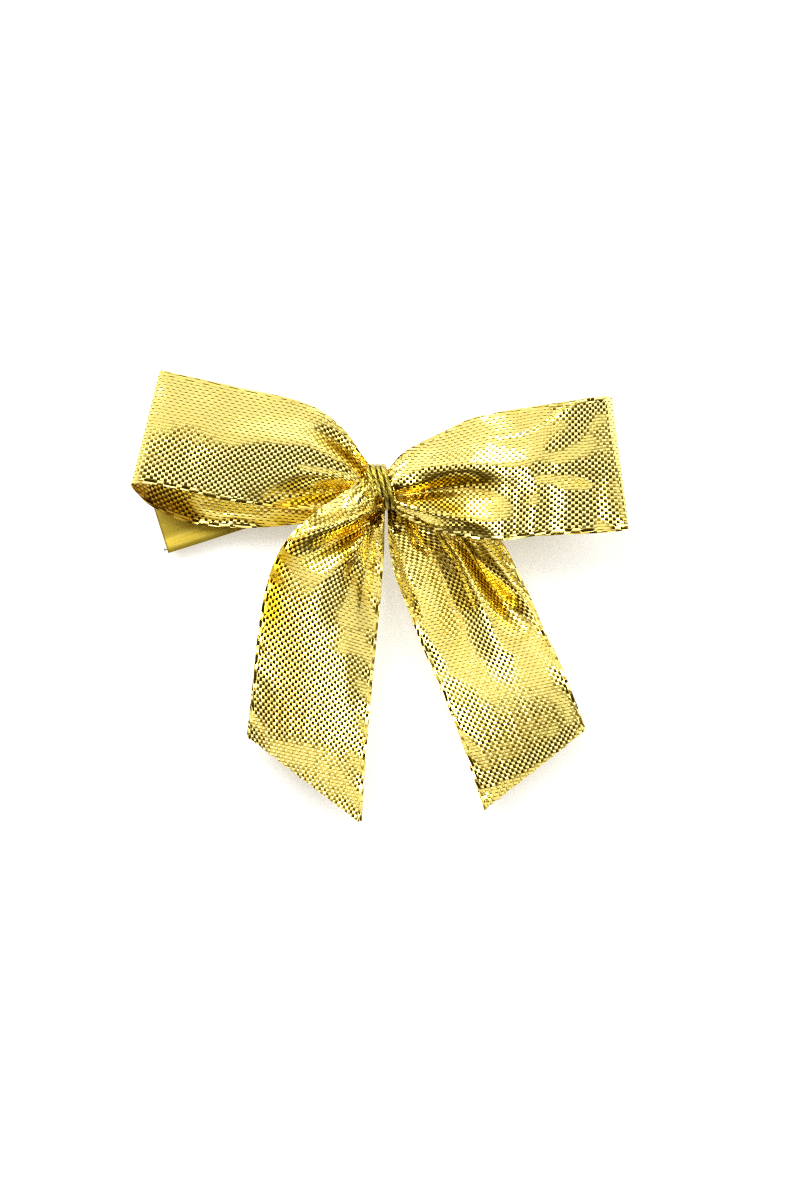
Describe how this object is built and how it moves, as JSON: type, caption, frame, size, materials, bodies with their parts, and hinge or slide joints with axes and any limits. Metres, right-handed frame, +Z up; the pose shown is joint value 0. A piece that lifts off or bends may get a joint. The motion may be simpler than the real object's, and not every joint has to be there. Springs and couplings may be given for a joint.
{
  "type": "gift bow with twist tie",
  "caption": "Pre-made gift bow of woven metallic ribbon: loops and tails gathered by a thin metallic cord, on a flat foil twist tie that bends round a package neck.",
  "frame": {"origin": "centre of the knot, at the back face of the twist tie's ridges", "axes": "the bow hangs upright: +X to the bow's right seen from the front, +Z up with both tails hanging along -Z, and its face looks along -Y"},
  "size_m": [0.065, 0.0132, 0.0597],
  "materials": {
    "ribbon_cloth": "plain weave of flat metallic yarn, glossy gold",
    "cord": "twisted metallic cord, greenish gold",
    "tie_foil": "metallised film, smooth bright gold",
    "tie_wire": "soft bare steel wire"
  },
  "bodies": {
    "knot": {"ribbon_gathered_core": "ribbon_cloth", "binding_cord": "cord", "binding_cord_knot": "cord", "tie_centre_front_film": "tie_foil", "tie_centre_back_film": "tie_foil", "tie_centre_wires": "tie_wire"},
    "left_loop_neck": {"ribbon_left_loop_neck": "ribbon_cloth"},
    "left_loop_front_inner": {"ribbon_left_loop_front_inner": "ribbon_cloth"},
    "left_loop_front_outer": {"ribbon_left_loop_front_outer": "ribbon_cloth"},
    "left_loop_back_outer": {"ribbon_left_loop_back_outer": "ribbon_cloth"},
    "left_loop_back_inner": {"ribbon_left_loop_back_inner": "ribbon_cloth"},
    "right_loop_neck": {"ribbon_right_loop_neck": "ribbon_cloth"},
    "right_loop_front_inner": {"ribbon_right_loop_front_inner": "ribbon_cloth"},
    "right_loop_front_outer": {"ribbon_right_loop_front_outer": "ribbon_cloth"},
    "right_loop_back_outer": {"ribbon_right_loop_back_outer": "ribbon_cloth"},
    "right_loop_back_inner": {"ribbon_right_loop_back_inner": "ribbon_cloth"},
    "left_tail_neck": {"ribbon_left_tail_neck": "ribbon_cloth"},
    "left_tail_upper": {"ribbon_left_tail_upper": "ribbon_cloth"},
    "left_tail_middle": {"ribbon_left_tail_middle": "ribbon_cloth"},
    "left_tail_tip": {"ribbon_left_tail_tip": "ribbon_cloth"},
    "right_tail_neck": {"ribbon_right_tail_neck": "ribbon_cloth"},
    "right_tail_upper": {"ribbon_right_tail_upper": "ribbon_cloth"},
    "right_tail_middle": {"ribbon_right_tail_middle": "ribbon_cloth"},
    "right_tail_tip": {"ribbon_right_tail_tip": "ribbon_cloth"},
    "tie_left_length_1": {"tie_left_length_1_front_film": "tie_foil", "tie_left_length_1_back_film": "tie_foil", "tie_left_length_1_wires": "tie_wire"},
    "tie_left_length_2": {"tie_left_length_2_front_film": "tie_foil", "tie_left_length_2_back_film": "tie_foil", "tie_left_length_2_wires": "tie_wire"},
    "tie_left_length_3": {"tie_left_length_3_front_film": "tie_foil", "tie_left_length_3_back_film": "tie_foil", "tie_left_length_3_wires": "tie_wire"},
    "tie_left_length_4": {"tie_left_length_4_front_film": "tie_foil", "tie_left_length_4_back_film": "tie_foil", "tie_left_length_4_wires": "tie_wire"},
    "tie_right_length_1": {"tie_right_length_1_front_film": "tie_foil", "tie_right_length_1_back_film": "tie_foil", "tie_right_length_1_wires": "tie_wire"},
    "tie_right_length_2": {"tie_right_length_2_front_film": "tie_foil", "tie_right_length_2_back_film": "tie_foil", "tie_right_length_2_wires": "tie_wire"},
    "tie_right_length_3": {"tie_right_length_3_front_film": "tie_foil", "tie_right_length_3_back_film": "tie_foil", "tie_right_length_3_wires": "tie_wire"},
    "tie_right_length_4": {"tie_right_length_4_front_film": "tie_foil", "tie_right_length_4_back_film": "tie_foil", "tie_right_length_4_wires": "tie_wire"}
  },
  "joints": [
    {"name": "left_loop_swing", "type": "hinge", "parent": "knot", "child": "left_loop_neck", "pos_m": [0, -0.0028, 0], "axis": [0, 1, 0], "range_deg": [-8, 10], "stiffness_Nm_per_rad": 0.00002},
    {"name": "left_loop_puff", "type": "hinge", "parent": "left_loop_neck", "child": "left_loop_front_inner", "pos_m": [-0.00408, -0.0029, 0.00098], "axis": [0.2334, 0, 0.9724], "range_deg": [-10, 9], "stiffness_Nm_per_rad": 0.00002},
    {"name": "left_loop_bend_1", "type": "hinge", "parent": "left_loop_front_inner", "child": "left_loop_front_outer", "pos_m": [-0.01692, -0.0088, 0.00406], "axis": [0.2334, 0, 0.9724], "range_deg": [-9, 10], "stiffness_Nm_per_rad": 0.00002},
    {"name": "left_loop_bend_2", "type": "hinge", "parent": "left_loop_front_outer", "child": "left_loop_back_outer", "pos_m": [-0.03102, -0.0076, 0.00745], "axis": [0.2334, 0, 0.9724], "range_deg": [-10, 9], "stiffness_Nm_per_rad": 0.00002},
    {"name": "left_loop_bend_3", "type": "hinge", "parent": "left_loop_back_outer", "child": "left_loop_back_inner", "pos_m": [-0.01809, -0.00142, 0.00434], "axis": [0.2334, 0, 0.9724], "range_deg": [-9, 10], "stiffness_Nm_per_rad": 0.00002},
    {"name": "right_loop_swing", "type": "hinge", "parent": "knot", "child": "right_loop_neck", "pos_m": [0, -0.0028, 0], "axis": [0, -1, 0], "range_deg": [-8, 10], "stiffness_Nm_per_rad": 0.00002},
    {"name": "right_loop_puff", "type": "hinge", "parent": "right_loop_neck", "child": "right_loop_front_inner", "pos_m": [0.00418, -0.0044, 0.0004], "axis": [0.0958, 0, -0.9954], "range_deg": [-10, 12], "stiffness_Nm_per_rad": 0.00002},
    {"name": "right_loop_bend_1", "type": "hinge", "parent": "right_loop_front_inner", "child": "right_loop_front_outer", "pos_m": [0.01722, -0.0104, 0.00166], "axis": [0.0958, 0, -0.9954], "range_deg": [-12, 10], "stiffness_Nm_per_rad": 0.00002},
    {"name": "right_loop_bend_2", "type": "hinge", "parent": "right_loop_front_outer", "child": "right_loop_back_outer", "pos_m": [0.03145, -0.0081, 0.00303], "axis": [0.0958, 0, -0.9954], "range_deg": [-10, 12], "stiffness_Nm_per_rad": 0.00002},
    {"name": "right_loop_bend_3", "type": "hinge", "parent": "right_loop_back_outer", "child": "right_loop_back_inner", "pos_m": [0.01851, -0.00238, 0.00178], "axis": [0.0958, 0, -0.9954], "range_deg": [-12, 10], "stiffness_Nm_per_rad": 0.00002},
    {"name": "left_tail_sway", "type": "hinge", "parent": "knot", "child": "left_tail_neck", "pos_m": [0, -0.0028, 0], "axis": [0, 1, 0], "range_deg": [-8, 8], "stiffness_Nm_per_rad": 0.00002},
    {"name": "left_tail_lift", "type": "hinge", "parent": "left_tail_neck", "child": "left_tail_upper", "pos_m": [-0.00087, -0.00867, -0.00996], "axis": [-0.9962, 0, 0.0872], "range_deg": [-4, 60], "stiffness_Nm_per_rad": 0.00002},
    {"name": "left_tail_curl_1", "type": "hinge", "parent": "left_tail_upper", "child": "left_tail_middle", "pos_m": [-0.00183, -0.00763, -0.02092], "axis": [-0.9962, 0, 0.0872], "range_deg": [-2, 30], "stiffness_Nm_per_rad": 0.00002},
    {"name": "left_tail_curl_2", "type": "hinge", "parent": "left_tail_middle", "child": "left_tail_tip", "pos_m": [-0.00279, -0.0046, -0.03188], "axis": [-0.9962, 0, 0.0872], "range_deg": [-2, 30], "stiffness_Nm_per_rad": 0.00002},
    {"name": "right_tail_sway", "type": "hinge", "parent": "knot", "child": "right_tail_neck", "pos_m": [0, -0.0028, 0], "axis": [0, -1, 0], "range_deg": [-8, 8], "stiffness_Nm_per_rad": 0.00002},
    {"name": "right_tail_lift", "type": "hinge", "parent": "right_tail_neck", "child": "right_tail_upper", "pos_m": [0.00443, -0.00118, -0.01222], "axis": [-0.9403, 0, -0.3404], "range_deg": [-4, 60], "stiffness_Nm_per_rad": 0.00002},
    {"name": "right_tail_curl_1", "type": "hinge", "parent": "right_tail_upper", "child": "right_tail_middle", "pos_m": [0.00817, -0.00348, -0.02257], "axis": [-0.9403, 0, -0.3404], "range_deg": [-2, 30], "stiffness_Nm_per_rad": 0.00002},
    {"name": "right_tail_curl_2", "type": "hinge", "parent": "right_tail_middle", "child": "right_tail_tip", "pos_m": [0.01157, -0.00328, -0.03197], "axis": [-0.9403, 0, -0.3404], "range_deg": [-2, 30], "stiffness_Nm_per_rad": 0.00002},
    {"name": "tie_left_bend", "type": "hinge", "parent": "knot", "child": "tie_left_length_1", "pos_m": [-0.00343, -0.00033, -0.0011], "axis": [0.304, 0, -0.9527], "range_deg": [0, 38]},
    {"name": "tie_left_bend_2", "type": "hinge", "parent": "tie_left_length_1", "child": "tie_left_length_2", "pos_m": [-0.00962, -0.00033, -0.00307], "axis": [0.304, 0, -0.9527], "range_deg": [0, 38]},
    {"name": "tie_left_bend_3", "type": "hinge", "parent": "tie_left_length_2", "child": "tie_left_length_3", "pos_m": [-0.01572, -0.00033, -0.00502], "axis": [0.304, 0, -0.9527], "range_deg": [0, 38]},
    {"name": "tie_left_bend_4", "type": "hinge", "parent": "tie_left_length_3", "child": "tie_left_length_4", "pos_m": [-0.02182, -0.00033, -0.00696], "axis": [0.304, 0, -0.9527], "range_deg": [0, 38]},
    {"name": "tie_right_bend", "type": "hinge", "parent": "knot", "child": "tie_right_length_1", "pos_m": [0.00356, -0.00033, 0.00056], "axis": [-0.1564, 0, 0.9877], "range_deg": [0, 38]},
    {"name": "tie_right_bend_2", "type": "hinge", "parent": "tie_right_length_1", "child": "tie_right_length_2", "pos_m": [0.00998, -0.00033, 0.00158], "axis": [-0.1564, 0, 0.9877], "range_deg": [0, 38]},
    {"name": "tie_right_bend_3", "type": "hinge", "parent": "tie_right_length_2", "child": "tie_right_length_3", "pos_m": [0.0163, -0.00033, 0.00258], "axis": [-0.1564, 0, 0.9877], "range_deg": [0, 38]},
    {"name": "tie_right_bend_4", "type": "hinge", "parent": "tie_right_length_3", "child": "tie_right_length_4", "pos_m": [0.02262, -0.00033, 0.00358], "axis": [-0.1564, 0, 0.9877], "range_deg": [0, 38]}
  ],
  "couplings": [
    {"joint": "left_loop_bend_1", "follows": "left_loop_puff", "ratio": -1},
    {"joint": "left_loop_bend_2", "follows": "left_loop_puff", "ratio": 1},
    {"joint": "left_loop_bend_3", "follows": "left_loop_puff", "ratio": -1},
    {"joint": "right_loop_bend_1", "follows": "right_loop_puff", "ratio": -1},
    {"joint": "right_loop_bend_2", "follows": "right_loop_puff", "ratio": 1},
    {"joint": "right_loop_bend_3", "follows": "right_loop_puff", "ratio": -1},
    {"joint": "left_tail_curl_1", "follows": "left_tail_lift", "ratio": 0.5},
    {"joint": "left_tail_curl_2", "follows": "left_tail_lift", "ratio": 0.5},
    {"joint": "right_tail_curl_1", "follows": "right_tail_lift", "ratio": 0.5},
    {"joint": "right_tail_curl_2", "follows": "right_tail_lift", "ratio": 0.5},
    {"joint": "tie_left_bend_2", "follows": "tie_left_bend", "ratio": 1},
    {"joint": "tie_left_bend_3", "follows": "tie_left_bend", "ratio": 1},
    {"joint": "tie_left_bend_4", "follows": "tie_left_bend", "ratio": 1},
    {"joint": "tie_right_bend_2", "follows": "tie_right_bend", "ratio": 1},
    {"joint": "tie_right_bend_3", "follows": "tie_right_bend", "ratio": 1},
    {"joint": "tie_right_bend_4", "follows": "tie_right_bend", "ratio": 1}
  ]
}
